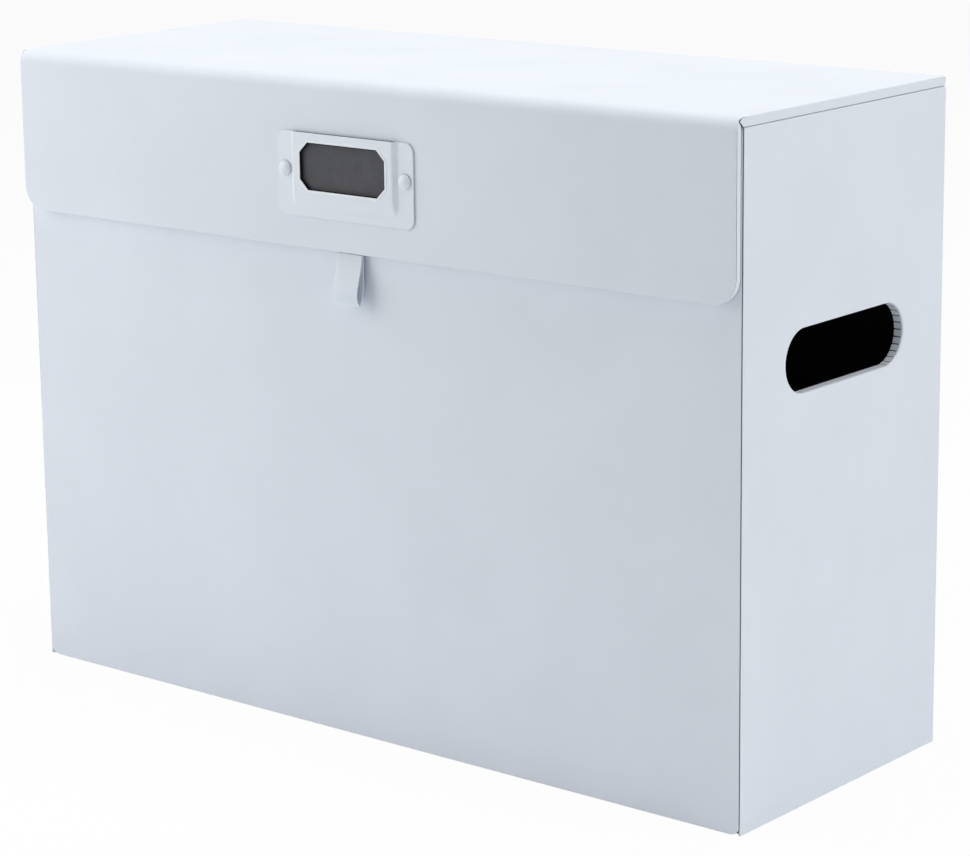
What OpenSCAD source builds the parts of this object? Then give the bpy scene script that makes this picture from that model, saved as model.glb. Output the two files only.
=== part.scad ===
// Portable file box for hanging folders.
// A greyboard case covered in white leather-grain paper and lined in black, with a hinged lid, a
// drop flap over the front, a metal label holder, a pull loop, two hand slots and two steel rails.
// The origin is the middle of the case's underside. X runs to the right, Y to the back and Z up.

/* [Case] */
// Width of the case over its side walls
case_w = 362; // [345:1:420]
// Depth of the case over its front and back walls
case_d = 133; // [110:1:200]
// Height of the case walls, without the lid
case_h = 259; // [245:1:320]
// Thickness of the greyboard in the walls and the base
board_t = 3; // [2:0.1:4]
// Thickness of the white covering paper
cover_t = 0.5; // [0.3:0.05:0.8]
// Thickness of the black lining paper
lining_t = 0.5; // [0.3:0.05:0.8]
// Height of the white turn-in that shows inside the top edge of the walls
turn_in_h = 3; // [2:0.5:12]
// Set-back of each panel from the front corner, which leaves the crease between them
crease = 0.7; // [0.4:0.1:1.2]
// Depth of the crease down to the black corner tape
crease_depth = 1.5; // [1:0.1:2]
// Radius of the front panel's lower corners
front_corner_r = 3; // [1:0.5:8]

/* [Hand slots] */
// Length of each hand slot
slot_len = 78; // [60:1:90]
// Height of each hand slot
slot_h = 24; // [18:1:32]
// Distance from the top of the walls down to the middle of the slot
slot_drop = 89; // [60:1:120]

/* [Lid] */
// Thickness of the lid's board
lid_board_t = 2.5; // [2:0.1:4]
// Gap between the lid and the top of the walls
lid_gap = 0.5; // [0.3:0.1:1]
// Radius of the lid's back edge
lid_back_r = 1.5; // [1:0.1:2.4]
// How far the hinge cloth laps down the back wall
hinge_lap = 25; // [12:1:50]
// Distance from the back wall's face in to the lid's back edge
lid_back_inset = 0.3; // [0.3:0.1:1]

/* [Flap] */
// Height of the flap, from the top of the lid to its lower edge
flap_h = 66.7; // [50:0.1:110]
// Thickness of the flap's board
flap_board_t = 2; // [1.8:0.1:3]
// Gap between the flap and the front wall
flap_gap = 1; // [0.8:0.1:2]
// Distance from each end of the flap to the side of the case
flap_inset = 0.5; // [0.2:0.1:3]
// Radius of the flap's lower corners
flap_corner_r = 10; // [4:0.5:20]
// Outer radius of the fold between the lid and the flap
fold_r = 4; // [3:0.1:5]
// Gap between the bevelled edges of the lid and flap boards, inside the fold
fold_gap = 0.3; // [0.2:0.1:0.6]
// Bare margin round the linings of the lid and the flap
lining_margin = 2; // [1:0.5:5]

/* [Label holder] */
// Width of the holder's plate
holder_w = 69; // [66:1:90]
// Height of the holder's plate
holder_h = 33; // [30:1:40]
// Distance from the top of the lid down to the holder's top edge
holder_drop = 21.3; // [8:0.1:30]
// Radius of the plate's corners
holder_corner_r = 4; // [1:0.5:6]
// Thickness of the pressed sheet
sheet_t = 0.8; // [0.5:0.1:1.2]
// Distance from each end of the plate in to the raised pocket
pocket_side_margin = 8.5; // [7.5:0.1:10]
// Distance from the plate's lower edge up to the pocket
pocket_foot_margin = 8.6; // [6:0.1:10]
// Depth of the pocket behind the sheet
pocket_depth = 1.5; // [1.2:0.1:2.5]
// Width of the pocket's frame on each side of the window
window_side_margin = 4.35; // [3:0.05:8]
// Height of the pocket's frame under the window
window_foot_margin = 2.3; // [2:0.1:4]
// Distance from the holder's top edge down to the window
window_drop = 3.6; // [2:0.1:4]
// Size of the window's cut corners
window_cut = 4; // [1:0.1:6]
// Distance from each end of the plate in to the rivet
holder_rivet_inset = 4; // [3.5:0.1:4.5]
// Distance from the holder's top edge down to the rivets
holder_rivet_drop = 14.7; // [8:0.1:24]
// Radius of the rivets' round heads
holder_head_r = 2.75; // [2:0.05:3]
// Height of the rivets' round heads
holder_head_h = 1.2; // [0.8:0.1:1.8]
// Radius of the rivets' shanks
holder_shank_r = 1.2; // [0.8:0.1:1.5]

/* [Label card] */
// Thickness of the label card
card_t = 0.5; // [0.2:0.05:0.7]
// Clearance between the card and the pocket
card_gap = 0.3; // [0.2:0.05:0.4]

/* [Pull loop] */
// Width of the strap
strap_w = 12.5; // [8:0.5:25]
// Thickness of the strap
strap_t = 0.7; // [0.5:0.05:0.85]
// Distance from the flap's lower edge down to the end of the loop
loop_drop = 20.7; // [19:0.1:35]
// Outer radius of the loop's round end
loop_r = 2.9; // [2.8:0.1:4]
// Straight height between the loop's round end and its shoulder
loop_body = 6.8; // [5:0.1:9]
// Gap between the loop and the front wall
loop_gap = 0.9; // [0.4:0.1:2]
// Height of the strap's tail inside the flap
tail_h = 14; // [8:1:16]

/* [Hanging rails] */
// Distance from the side of the case in to the rail, which sets the rails 312 mm apart for letter size
rail_inset = 25; // [23:0.5:32]
// Height of each rail
rail_h = 14; // [12:0.5:20]
// Thickness of the rails' steel
rail_t = 1.2; // [0.8:0.1:2]
// Distance from the top of the walls down to the rails' top edge
rail_drop = 16; // [10:1:25]
// Length of the foot at each end of a rail
foot_w = 18; // [16:1:19]
// Distance between the two rivets in a foot
foot_rivet_span = 8; // [7:0.5:9]
// Radius of the rail rivets' shanks
rail_shank_r = 1.5; // [1:0.1:2]
// Radius of the rail rivets' heads
rail_head_r = 2.6; // [2.4:0.1:3.2]
// Height of the rail rivets' heads
rail_head_h = 1; // [0.6:0.1:1.2]

/* [Magnetic catch] */
// Distance from the side of the case in to the catch
catch_inset = 61; // [35:1:110]
// Distance from the flap's lower edge up to the middle of the catches
catch_rise = 14; // [12:1:30]
// Radius of the magnets in the flap
magnet_r = 5; // [3:0.5:8]
// Thickness of the magnets
magnet_t = 1.5; // [1:0.1:1.7]
// Radius of the steel keeper discs in the front wall
keeper_r = 8; // [4:0.5:10]
// Thickness of the keeper discs
keeper_t = 0.7; // [0.4:0.1:1.2]

/* [Hidden] */
$fn = 64;

white = "#eef1f6";
black = "#2a2b2f";
greyboard = "#b3a58f";
steel = "#b9bdc2";

// Play round a rivet in its hole, and how far a cut runs past the face that it leaves
play = 0.05;
past = 1;
// Gap between parts that move against each other
run_gap = 0.3;

half_w = case_w / 2;
half_d = case_d / 2;
wall_t = cover_t + board_t + lining_t;
core_t = cover_t + board_t;

lid_z = case_h + lid_gap;
lid_board_z = lid_z + lining_t;
top_z = lid_board_z + lid_board_t + cover_t;
lid_back_y = half_d - lid_back_inset;

flap_t = cover_t + flap_board_t + lining_t;
flap_y = -half_d - flap_gap - flap_t;
flap_back_y = flap_y + cover_t + flap_board_t;
flap_z = top_z - flap_h;
flap_w = case_w - 2 * flap_inset;

// The fold is a quarter round about this line. The flap turns on the middle of its outer face.
fold_y = flap_y + fold_r;
fold_z = top_z - fold_r;
fold_pin_y = fold_y - fold_r * cos(45);
fold_pin_z = fold_z + fold_r * sin(45);

holder_z = top_z - holder_drop;
pocket_w = holder_w - 2 * pocket_side_margin;
pocket_h = holder_h - pocket_foot_margin;
pocket_z = holder_z - pocket_h;
window_w = pocket_w - 2 * window_side_margin;
window_h = pocket_h - window_foot_margin - window_drop;
holder_rivet_x = holder_w / 2 - holder_rivet_inset;
holder_rivet_z = holder_z - holder_rivet_drop;
holder_clinch_h = 0.6;
holder_clinch_r = 2.2;

slot_z = case_h - slot_drop;
rail_z = case_h - rail_drop - rail_h;
rail_x = half_w - rail_inset;
foot_x = rail_x - rail_t / 2;
foot_rivet_x = foot_x + rail_t + (foot_w - rail_t) / 2;
rail_rivet_z = rail_z + rail_h / 2;
rail_clinch_h = 0.8;

catch_x = half_w - catch_inset;
catch_z = flap_z + catch_rise;

// Middle of the loop's round end, and the line that the loop swings on
loop_y = -half_d - loop_gap - loop_r;
loop_z = flap_z - loop_drop + loop_r;
loop_pin_y = flap_back_y - strap_t;
loop_pin_z = flap_z - run_gap - strap_t;

// Half planes and long cuts reach this far, which is past everything
far = case_w + case_d + case_h;

// Extrudes a (Y, Z) outline from x0 to x1
module along_x(x0, x1) {
    translate([x0, 0, 0])
        rotate([90, 0, 90])
            linear_extrude(x1 - x0)
                children();
}

// Extrudes an (X, Z) outline from y0 to y1
module along_y(y0, y1) {
    translate([0, y1, 0])
        rotate([90, 0, 0])
            linear_extrude(y1 - y0)
                children();
}

// Extrudes an (X, Y) outline from z0 to z1
module along_z(z0, z1) {
    translate([0, 0, z0])
        linear_extrude(z1 - z0)
            children();
}

// A pin or hole along Y from y0 to y1
module pin_y(x, z, y0, y1, r) {
    translate([x, y0, z])
        rotate([-90, 0, 0])
            cylinder(r = r, h = y1 - y0);
}

module on_both_sides() {
    children();
    mirror([1, 0, 0]) children();
}

// Rectangle with all four corners round, its middle at the origin
module round_rect(w, h, r) {
    square([w - 2 * r, h], center = true);
    square([w, h - 2 * r], center = true);
    for (x = [-1, 1])
        for (y = [-1, 1])
            translate([x * (w / 2 - r), y * (h / 2 - r)])
                circle(r = r);
}

// Upright panel from z0 to z1 with its two lower corners round
module foot_round_panel(w, z0, z1, r) {
    translate([-w / 2, z0 + r]) square([w, z1 - z0 - r]);
    translate([-w / 2 + r, z0]) square([w - 2 * r, 2 * r]);
    for (x = [-1, 1])
        translate([x * (w / 2 - r), z0 + r])
            circle(r = r);
}

// ---- Case ----

// Plan of the front panel between two depths from its outer face, with bevelled ends
module front_plan(d0, d1) {
    end0 = half_w - crease - d0;
    end1 = half_w - crease - d1;
    polygon([[-end0, -half_d + d0], [end0, -half_d + d0], [end1, -half_d + d1], [-end1, -half_d + d1]]);
}

// Plan of the right side panel between two depths from its outer face, back to y1
module side_plan(d0, d1, y1) {
    front0 = -half_d + crease + d0;
    front1 = -half_d + crease + d1;
    polygon([[half_w - d0, front0], [half_w - d0, y1], [half_w - d1, y1], [half_w - d1, front1]]);
}

// Space inside the four walls
module inside_plan() {
    square([case_w - 2 * wall_t, case_d - 2 * wall_t], center = true);
}

// Outline of a hand slot, grown by g, in (Y, Z)
module slot_outline(g) {
    translate([0, slot_z]) {
        square([slot_len - slot_h, slot_h + 2 * g], center = true);
        for (y = [-1, 1])
            translate([y * (slot_len - slot_h) / 2, 0])
                circle(r = slot_h / 2 + g);
    }
}

// Outline of the front panel, shrunk by g at its edges, in (X, Z)
module front_outline(g) {
    foot_round_panel(case_w - 2 * crease - 2 * g, g, case_h - g, front_corner_r - g);
}

module front_core() {
    intersection() {
        along_z(cover_t, case_h - cover_t) front_plan(cover_t, core_t);
        along_y(-half_d, -half_d + wall_t) front_outline(cover_t);
    }
}

module right_core() {
    along_z(cover_t, case_h - cover_t) side_plan(cover_t, core_t, half_d - cover_t);
}

module back_core() {
    along_z(cover_t, case_h - cover_t)
        translate([-half_w + core_t, half_d - core_t])
            square([case_w - 2 * core_t, board_t]);
}

module front_lining_sheet() {
    along_z(wall_t, case_h - turn_in_h)
        translate([-half_w + core_t, -half_d + core_t])
            square([case_w - 2 * core_t, lining_t]);
}

module right_lining_sheet() {
    along_z(wall_t, case_h - turn_in_h)
        translate([half_w - wall_t, -half_d + wall_t])
            square([lining_t, case_d - 2 * wall_t]);
}

// Holes through the front wall and its lining for the rail rivets
module rail_rivet_holes() {
    for (x = [-foot_rivet_span / 2, foot_rivet_span / 2])
        on_both_sides() {
            pin_y(foot_rivet_x + x, rail_rivet_z, -half_d + cover_t - past, -half_d + wall_t + rail_t + past,
                rail_shank_r + play);
            pin_y(foot_rivet_x + x, rail_rivet_z, -half_d + cover_t - past,
                -half_d + cover_t + rail_clinch_h, rail_head_r + play);
        }
}

module base_board() {
    color(greyboard) along_z(cover_t, core_t) inside_plan();
}

module base_cover() {
    color(white) along_z(0, cover_t) inside_plan();
}

module base_lining() {
    color(black) along_z(core_t, wall_t) inside_plan();
}

module front_wall() {
    color(greyboard) difference() {
        front_core();
        rail_rivet_holes();
        for (x = [-catch_x, catch_x])
            pin_y(x, catch_z, -half_d + cover_t - past, -half_d + cover_t + keeper_t, keeper_r + play);
    }
}

module back_wall() {
    color(greyboard) difference() {
        back_core();
        mirror([0, 1, 0]) rail_rivet_holes();
    }
}

module right_wall() {
    color(greyboard) difference() {
        right_core();
        along_x(half_w - wall_t, half_w) slot_outline(cover_t);
    }
}

module left_wall() {
    mirror([1, 0, 0]) right_wall();
}

// Cover of the front panel, turned over its top and bottom edges
module front_cover() {
    color(white) difference() {
        intersection() {
            along_z(0, case_h) front_plan(0, wall_t);
            along_y(-half_d, -half_d + wall_t) front_outline(0);
        }
        front_core();
        front_lining_sheet();
    }
}

// Part of the hinge cloth that laps down the back wall, as a slab that reaches up past the lid
module hinge_lap_slab() {
    translate([-half_w + cover_t, half_d - cover_t, case_h - hinge_lap])
        cube([case_w - 2 * cover_t, cover_t + past, far]);
}

// One sheet round both sides and the back, turned over their edges and in through the hand slots
module wrap_cover() {
    color(white) difference() {
        union() {
            difference() {
                along_z(0, case_h) {
                    on_both_sides() side_plan(0, wall_t, half_d);
                    translate([-half_w + wall_t - past, half_d - wall_t])
                        square([case_w - 2 * wall_t + 2 * past, wall_t]);
                }
                on_both_sides() right_core();
                back_core();
                on_both_sides() right_lining_sheet();
                mirror([0, 1, 0]) front_lining_sheet();
                hinge_lap_slab();
            }
            on_both_sides() along_x(half_w - wall_t, half_w) slot_outline(cover_t);
        }
        along_x(-half_w - past, half_w + past) slot_outline(0);
    }
}

// Black tape in the two front corners, which joins the front panel to the sides
module corner_tapes() {
    color(black) on_both_sides()
        along_z(cover_t, case_h - cover_t)
            polygon([
                [half_w - crease - crease_depth, -half_d + crease_depth],
                [half_w - crease_depth, -half_d + crease + crease_depth],
                [half_w + crease - core_t, -half_d + core_t],
                [half_w - crease - core_t, -half_d + core_t],
            ]);
}

module front_lining() {
    color(black) difference() {
        front_lining_sheet();
        rail_rivet_holes();
    }
}

module back_lining() {
    mirror([0, 1, 0]) front_lining();
}

module right_lining() {
    color(black) difference() {
        right_lining_sheet();
        along_x(half_w - wall_t - past, half_w) slot_outline(cover_t);
    }
}

module left_lining() {
    mirror([1, 0, 0]) right_lining();
}

// Steel strip on edge from front to back, with a foot at each end
module right_rail() {
    color(steel) difference() {
        union() {
            translate([foot_x, -half_d + wall_t, rail_z])
                cube([rail_t, case_d - 2 * wall_t, rail_h]);
            for (y = [-half_d + wall_t, half_d - wall_t - rail_t])
                translate([foot_x, y, rail_z])
                    cube([foot_w, rail_t, rail_h]);
        }
        rail_rivet_holes();
        mirror([0, 1, 0]) rail_rivet_holes();
    }
}

module left_rail() {
    mirror([1, 0, 0]) right_rail();
}

// Eight rivets: a head on the foot, a shank through the wall and a flat clinch under the cover
module rail_rivets() {
    foot_face = -half_d + wall_t + rail_t;
    board_face = -half_d + cover_t;
    color(steel)
        for (front_to_back = [0, 1])
            mirror([0, front_to_back, 0])
                on_both_sides()
                    for (x = [-foot_rivet_span / 2, foot_rivet_span / 2]) {
                        pin_y(foot_rivet_x + x, rail_rivet_z, board_face, foot_face + rail_head_h,
                            rail_shank_r);
                        pin_y(foot_rivet_x + x, rail_rivet_z, board_face, board_face + rail_clinch_h,
                            rail_head_r);
                        pin_y(foot_rivet_x + x, rail_rivet_z, foot_face, foot_face + rail_head_h,
                            rail_head_r);
                    }
}

module keeper_plates() {
    color(steel)
        for (x = [-catch_x, catch_x])
            pin_y(x, catch_z, -half_d + cover_t, -half_d + cover_t + keeper_t, keeper_r);
}

// ---- Lid and flap ----

// Everything under the outer face of the lid and flap, shrunk by g, in (Y, Z)
module under_lid_and_flap(g) {
    translate([flap_y + g, -far]) square([far, fold_z + far]);
    translate([fold_y, -far]) square([far, top_z - g + far]);
    translate([fold_y, fold_z]) circle(r = fold_r - g);
}

// Everything in front of the lid's back edge, shrunk by g, in (Y, Z)
module before_lid_back(g) {
    translate([lid_back_y - g - far, -far]) square([far, top_z - lid_back_r + far]);
    translate([lid_back_y - lid_back_r - far, -far]) square([far, top_z - g + far]);
    translate([lid_back_y - lid_back_r, top_z - lid_back_r]) circle(r = lid_back_r - g);
}

// The lid's side of the bevel in the fold, in (Y, Z)
module lid_side() {
    step = fold_gap * cos(45);
    polygon([
        [fold_pin_y + step + far, fold_pin_z - far],
        [fold_pin_y + step + far, fold_pin_z + far],
        [fold_pin_y + step - far, fold_pin_z + far],
    ]);
}

// The flap's side of the bevel in the fold, in (Y, Z)
module flap_side() {
    step = fold_gap * cos(45);
    polygon([
        [fold_pin_y - step + far, fold_pin_z - far],
        [fold_pin_y - step - far, fold_pin_z + far],
        [fold_pin_y - step - far, fold_pin_z - far],
    ]);
}

// Section of the lid above z0, shrunk by g from its outer faces
module lid_section(g, z0) {
    intersection() {
        under_lid_and_flap(g);
        before_lid_back(g);
        lid_side();
        translate([-far, z0]) square([2 * far, far]);
    }
}

// Section of the flap in front of y1, shrunk by g from its outer face
module flap_section(g, y1) {
    intersection() {
        under_lid_and_flap(g);
        flap_side();
        translate([y1 - far, -far]) square([far, 2 * far]);
    }
}

// Outline of the flap, shrunk by g at its edges, in (X, Z)
module flap_outline(g) {
    foot_round_panel(flap_w - 2 * g, flap_z + g, top_z, flap_corner_r - g);
}

module fold_ring() {
    difference() {
        intersection() {
            under_lid_and_flap(0);
            translate([fold_y - far, fold_z]) square([far, far]);
        }
        under_lid_and_flap(cover_t);
    }
}

module lid_board() {
    color(greyboard)
        along_x(-half_w + cover_t, half_w - cover_t) lid_section(cover_t, lid_board_z);
}

// Top sheet of the cover, turned down over the lid's two ends
module lid_cover() {
    color(white) difference() {
        along_x(-half_w, half_w) lid_section(0, lid_board_z);
        along_x(-half_w + cover_t, half_w - cover_t) {
            lid_section(cover_t, lid_board_z);
            translate([lid_back_y - lid_back_r, 0]) square([far, far]);
        }
        along_x(-flap_w / 2, flap_w / 2) fold_ring();
    }
}

module lid_lining() {
    color(black) along_x(-half_w + lining_margin, half_w - lining_margin)
        intersection() {
            lid_section(0, lid_z);
            translate([-far, -far]) square([far + lid_back_y - lining_margin, far + lid_board_z]);
        }
}

// Cover cloth round the back edge of the lid and down the back wall, on which the lid turns
module back_hinge_cloth() {
    color(white) along_x(-half_w + cover_t, half_w - cover_t) {
        difference() {
            intersection() {
                before_lid_back(0);
                translate([lid_back_y - lid_back_r, case_h]) square([far, far]);
            }
            before_lid_back(cover_t);
        }
        translate([half_d - cover_t, case_h - hinge_lap]) square([cover_t, hinge_lap + lid_gap]);
    }
}

// Cover cloth round the fold, on which the flap turns
module front_hinge_cloth() {
    color(white) along_x(-flap_w / 2, flap_w / 2) fold_ring();
}

module flap_core() {
    intersection() {
        along_x(-flap_w / 2 + cover_t, flap_w / 2 - cover_t) flap_section(cover_t, flap_back_y);
        along_y(flap_y, flap_back_y) flap_outline(cover_t);
    }
}

module pull_tail_block(g) {
    translate([-strap_w / 2 - g, flap_back_y - 2 * strap_t - g, flap_z - g])
        cube([strap_w + 2 * g, 2 * strap_t + g, tail_h + 2 * g]);
}

module flap_board() {
    color(greyboard) difference() {
        flap_core();
        pull_tail_block(0);
        for (x = [-catch_x, catch_x])
            pin_y(x, catch_z, flap_back_y - magnet_t, flap_back_y + past, magnet_r + play);
        for (x = [-holder_rivet_x, holder_rivet_x]) {
            pin_y(x, holder_rivet_z, flap_y - past, flap_back_y + past, holder_shank_r + play);
            pin_y(x, holder_rivet_z, flap_back_y - holder_clinch_h, flap_back_y + past,
                holder_clinch_r + play);
        }
    }
}

// Outer sheet of the flap, turned over its ends and its lower edge
module flap_cover() {
    color(white) difference() {
        intersection() {
            along_x(-flap_w / 2, flap_w / 2) flap_section(0, flap_back_y);
            along_y(flap_y, flap_back_y) flap_outline(0);
        }
        flap_core();
        along_x(-flap_w / 2, flap_w / 2) fold_ring();
        pull_tail_block(0);
        for (x = [-holder_rivet_x, holder_rivet_x])
            pin_y(x, holder_rivet_z, flap_y - past, flap_back_y, holder_shank_r + play);
    }
}

module flap_lining() {
    color(black) intersection() {
        along_x(-flap_w / 2, flap_w / 2)
            intersection() {
                flap_section(0, flap_back_y + lining_t);
                translate([flap_back_y, 0]) square([far, far]);
            }
        along_y(flap_back_y, flap_back_y + lining_t) flap_outline(lining_margin);
    }
}

module closure_magnets() {
    color(steel)
        for (x = [-catch_x, catch_x])
            pin_y(x, catch_z, flap_back_y - magnet_t, flap_back_y, magnet_r);
}

// ---- Label holder ----

// Window with its four corners cut, in (X, Z)
module window_outline() {
    w = window_w / 2;
    z1 = holder_z - window_drop;
    z0 = z1 - window_h;
    polygon([
        [-w, z0 + window_cut], [-w + window_cut, z0], [w - window_cut, z0], [w, z0 + window_cut],
        [w, z1 - window_cut], [w - window_cut, z1], [-w + window_cut, z1], [-w, z1 - window_cut],
    ]);
}

// Pressed plate with a raised pocket that is open at the top
module label_holder() {
    pocket_y = flap_y - pocket_depth;
    color(white) difference() {
        union() {
            along_y(flap_y - sheet_t, flap_y)
                translate([0, holder_z - holder_h / 2])
                    round_rect(holder_w, holder_h, holder_corner_r);
            translate([-pocket_w / 2, pocket_y - sheet_t, pocket_z])
                cube([pocket_w, pocket_depth + sheet_t, pocket_h]);
        }
        translate([-pocket_w / 2 + sheet_t, pocket_y, pocket_z + sheet_t])
            cube([pocket_w - 2 * sheet_t, pocket_depth + past, pocket_h]);
        along_y(pocket_y - sheet_t - past, flap_y) window_outline();
        for (x = [-holder_rivet_x, holder_rivet_x])
            pin_y(x, holder_rivet_z, flap_y - sheet_t - past, flap_y + past, holder_shank_r + play);
    }
}

// Two rivets: a round head on the plate, a shank through the flap and a clinch behind its board
module holder_rivets() {
    plate_face = flap_y - sheet_t;
    ball_r = (holder_head_r * holder_head_r + holder_head_h * holder_head_h) / (2 * holder_head_h);
    color(white)
        for (x = [-holder_rivet_x, holder_rivet_x]) {
            intersection() {
                translate([x, plate_face - holder_head_h + ball_r, holder_rivet_z]) sphere(r = ball_r);
                pin_y(x, holder_rivet_z, plate_face - 2 * holder_head_h, plate_face, 2 * holder_head_r);
            }
            pin_y(x, holder_rivet_z, plate_face - holder_head_h / 2, flap_back_y, holder_shank_r);
            pin_y(x, holder_rivet_z, flap_back_y - holder_clinch_h, flap_back_y, holder_clinch_r);
        }
}

module label_card() {
    side_gap = sheet_t + card_gap;
    color("#525256")
        translate([-pocket_w / 2 + side_gap, flap_y - card_gap - card_t, pocket_z + side_gap])
            cube([pocket_w - 2 * side_gap, card_t, pocket_h - side_gap]);
}

// ---- Pull loop ----

// The strap's two glued ends, set into the back of the flap's board
module pull_tail() {
    color(white) pull_tail_block(0);
}

// Solid outline of the loop, shrunk by g, in (Y, Z)
module loop_outline(g) {
    hull() {
        translate([loop_y, loop_z]) circle(r = loop_r - g, $fn = 32);
        translate([loop_y, loop_z + loop_body]) circle(r = loop_r - g, $fn = 32);
        translate([loop_pin_y, loop_pin_z - g]) circle(r = strap_t - g / 2, $fn = 32);
    }
}

// The strap below the flap, bent into a loop that swings on its root
module pull_loop() {
    color(white) along_x(-strap_w / 2, strap_w / 2)
        difference() {
            loop_outline(0);
            loop_outline(strap_t);
        }
}

base_board();
base_cover();
base_lining();
front_wall();
back_wall();
left_wall();
right_wall();
front_cover();
wrap_cover();
corner_tapes();
front_lining();
back_lining();
left_lining();
right_lining();
left_rail();
right_rail();
rail_rivets();
keeper_plates();
back_hinge_cloth();
lid_board();
lid_cover();
lid_lining();
front_hinge_cloth();
flap_board();
flap_cover();
flap_lining();
closure_magnets();
label_holder();
holder_rivets();
label_card();
pull_tail();
pull_loop();
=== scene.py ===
import math

import bmesh
import bpy
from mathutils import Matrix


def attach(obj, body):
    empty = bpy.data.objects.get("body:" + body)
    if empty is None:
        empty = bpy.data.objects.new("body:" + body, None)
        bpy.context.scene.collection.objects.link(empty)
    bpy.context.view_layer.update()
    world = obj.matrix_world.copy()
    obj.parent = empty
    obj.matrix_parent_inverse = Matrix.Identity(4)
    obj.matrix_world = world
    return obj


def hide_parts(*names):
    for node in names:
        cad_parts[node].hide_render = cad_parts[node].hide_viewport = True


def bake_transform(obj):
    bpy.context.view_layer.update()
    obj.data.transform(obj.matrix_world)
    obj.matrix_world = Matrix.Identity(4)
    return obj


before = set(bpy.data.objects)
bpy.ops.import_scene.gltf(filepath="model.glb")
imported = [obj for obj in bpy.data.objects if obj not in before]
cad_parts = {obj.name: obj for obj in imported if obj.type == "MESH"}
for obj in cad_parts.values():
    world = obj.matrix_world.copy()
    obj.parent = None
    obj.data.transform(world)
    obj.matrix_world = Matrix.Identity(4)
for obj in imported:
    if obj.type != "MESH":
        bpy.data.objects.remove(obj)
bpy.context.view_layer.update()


# ---- Studio: camera, lamps, floor ----
# A camera at the photograph's viewing angle, in front, to the right and a little above the box.
# The light is plain and soft: a key on the left, a big lamp overhead, a fill on the right and a
# pale room. The room and the floor look white to the camera without lighting the box more.
bpy.ops.object.camera_add(
    location=(0.8009, -0.96472, 0.4172),
    rotation=(math.radians(77.3366), math.radians(0.9196), math.radians(40.3545)),
)
camera = bpy.context.object
camera.data.lens = 117.80
camera.data.sensor_width = 36
camera.data.shift_x = 0.06736
camera.data.shift_y = -0.05361
bpy.context.scene.camera = camera
bpy.context.scene.view_settings.view_transform = "Standard"


def linear(hex_code):
    """The linear colour of an sRGB hex code."""
    parts = [int(hex_code[i:i + 2], 16) / 255 for i in (1, 3, 5)]
    return [c / 12.92 if c <= 0.04045 else ((c + 0.055) / 1.055) ** 2.4 for c in parts] + [1]


def add(tree, kind, settings, links):
    """Adds a node. Keys in small letters are the node's own settings, the others its sockets."""
    made = tree.nodes.new("ShaderNode" + kind)
    for key, value in settings.items():
        if isinstance(key, str) and key[0].islower():
            setattr(made, key, value)
        else:
            made.inputs[key].default_value = value
    for key, (source, output) in links.items():
        tree.links.new(source.outputs[output], made.inputs[key])
    return made


def finish_named(name):
    """A new material with an empty node tree."""
    made = bpy.data.materials.new(name)
    made.use_nodes = True
    made.node_tree.nodes.clear()
    return made, made.node_tree


def seen_directly(tree):
    """1 for a ray from the camera or off a glossy or clear surface, and 0 for light on the box."""
    rays = add(tree, "LightPath", {}, {})
    clear = add(tree, "Math", {"operation": "MAXIMUM"}, {
        0: (rays, "Is Camera Ray"), 1: (rays, "Is Transmission Ray")})
    return add(tree, "Math", {"operation": "MAXIMUM"}, {0: (clear, 0), 1: (rays, "Is Glossy Ray")})


room = bpy.data.worlds.new("pale_room")
room.use_nodes = True
room.node_tree.nodes.clear()
bpy.context.scene.world = room
tree = room.node_tree
seen = seen_directly(tree)
ambient = add(tree, "Background", {"Color": linear("#f1f5fc"), "Strength": 0.17}, {})
backdrop = add(tree, "Background", {"Color": linear("#ffffff"), "Strength": 1}, {})
mixed = add(tree, "MixShader", {}, {0: (seen, 0), 1: (ambient, 0), 2: (backdrop, 0)})
add(tree, "OutputWorld", {}, {"Surface": (mixed, 0)})


def softbox(name, place, target, width, height, power):
    """A soft rectangular lamp that faces a point of the box."""
    bpy.ops.object.light_add(type="AREA", location=place)
    lamp = bpy.context.object
    lamp.name = name
    lamp.data.shape = "RECTANGLE"
    lamp.data.size = width
    lamp.data.size_y = height
    lamp.data.energy = power
    lamp.visible_camera = False
    away = [a - b for a, b in zip(place, target)]
    flat = math.hypot(away[0], away[1])
    lamp.rotation_euler = (math.atan2(flat, away[2]), 0, math.atan2(away[0], -away[1]))


softbox("key_softbox", (-0.75, -0.65, 0.55), (-0.15, -0.07, 0.15), 0.9, 1.0, 5.7)
softbox("top_softbox", (0.1, 0.2, 1.9), (0, 0, 0.2), 1.6, 1.2, 21.2)
softbox("side_softbox", (1.9, 0.25, 0.9), (0.18, 0, 0.15), 1.2, 1.2, 13.2)

bpy.ops.mesh.primitive_plane_add(size=40, location=(0, 0, 0))
floor = bpy.context.object
floor.name = "floor"
floor_finish, tree = finish_named("matte_white_studio_floor")
seen = seen_directly(tree)
share = add(tree, "Math", {"operation": "MULTIPLY", 1: 0.94}, {0: (seen, 0)})
speck = add(tree, "TexNoise", {"Scale": 400.0, "Detail": 2.0}, {"Vector": (
    add(tree, "TexCoord", {}, {}), "Object")})
painted = add(tree, "ValToRGB", {}, {"Fac": (speck, "Fac")})
painted.color_ramp.elements[0].color = linear("#f0f2f5")
painted.color_ramp.elements[1].color = linear("#f6f8fa")
matte = add(tree, "BsdfPrincipled", {"Roughness": 0.9}, {"Base Color": (painted, "Color")})
glow = add(tree, "Emission", {"Color": linear("#ffffff"), "Strength": 1.0}, {})
mixed = add(tree, "MixShader", {}, {0: (share, 0), 1: (matte, 0), 2: (glow, 0)})
add(tree, "OutputMaterial", {}, {"Surface": (mixed, 0)})
floor.data.materials.append(floor_finish)


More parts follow.
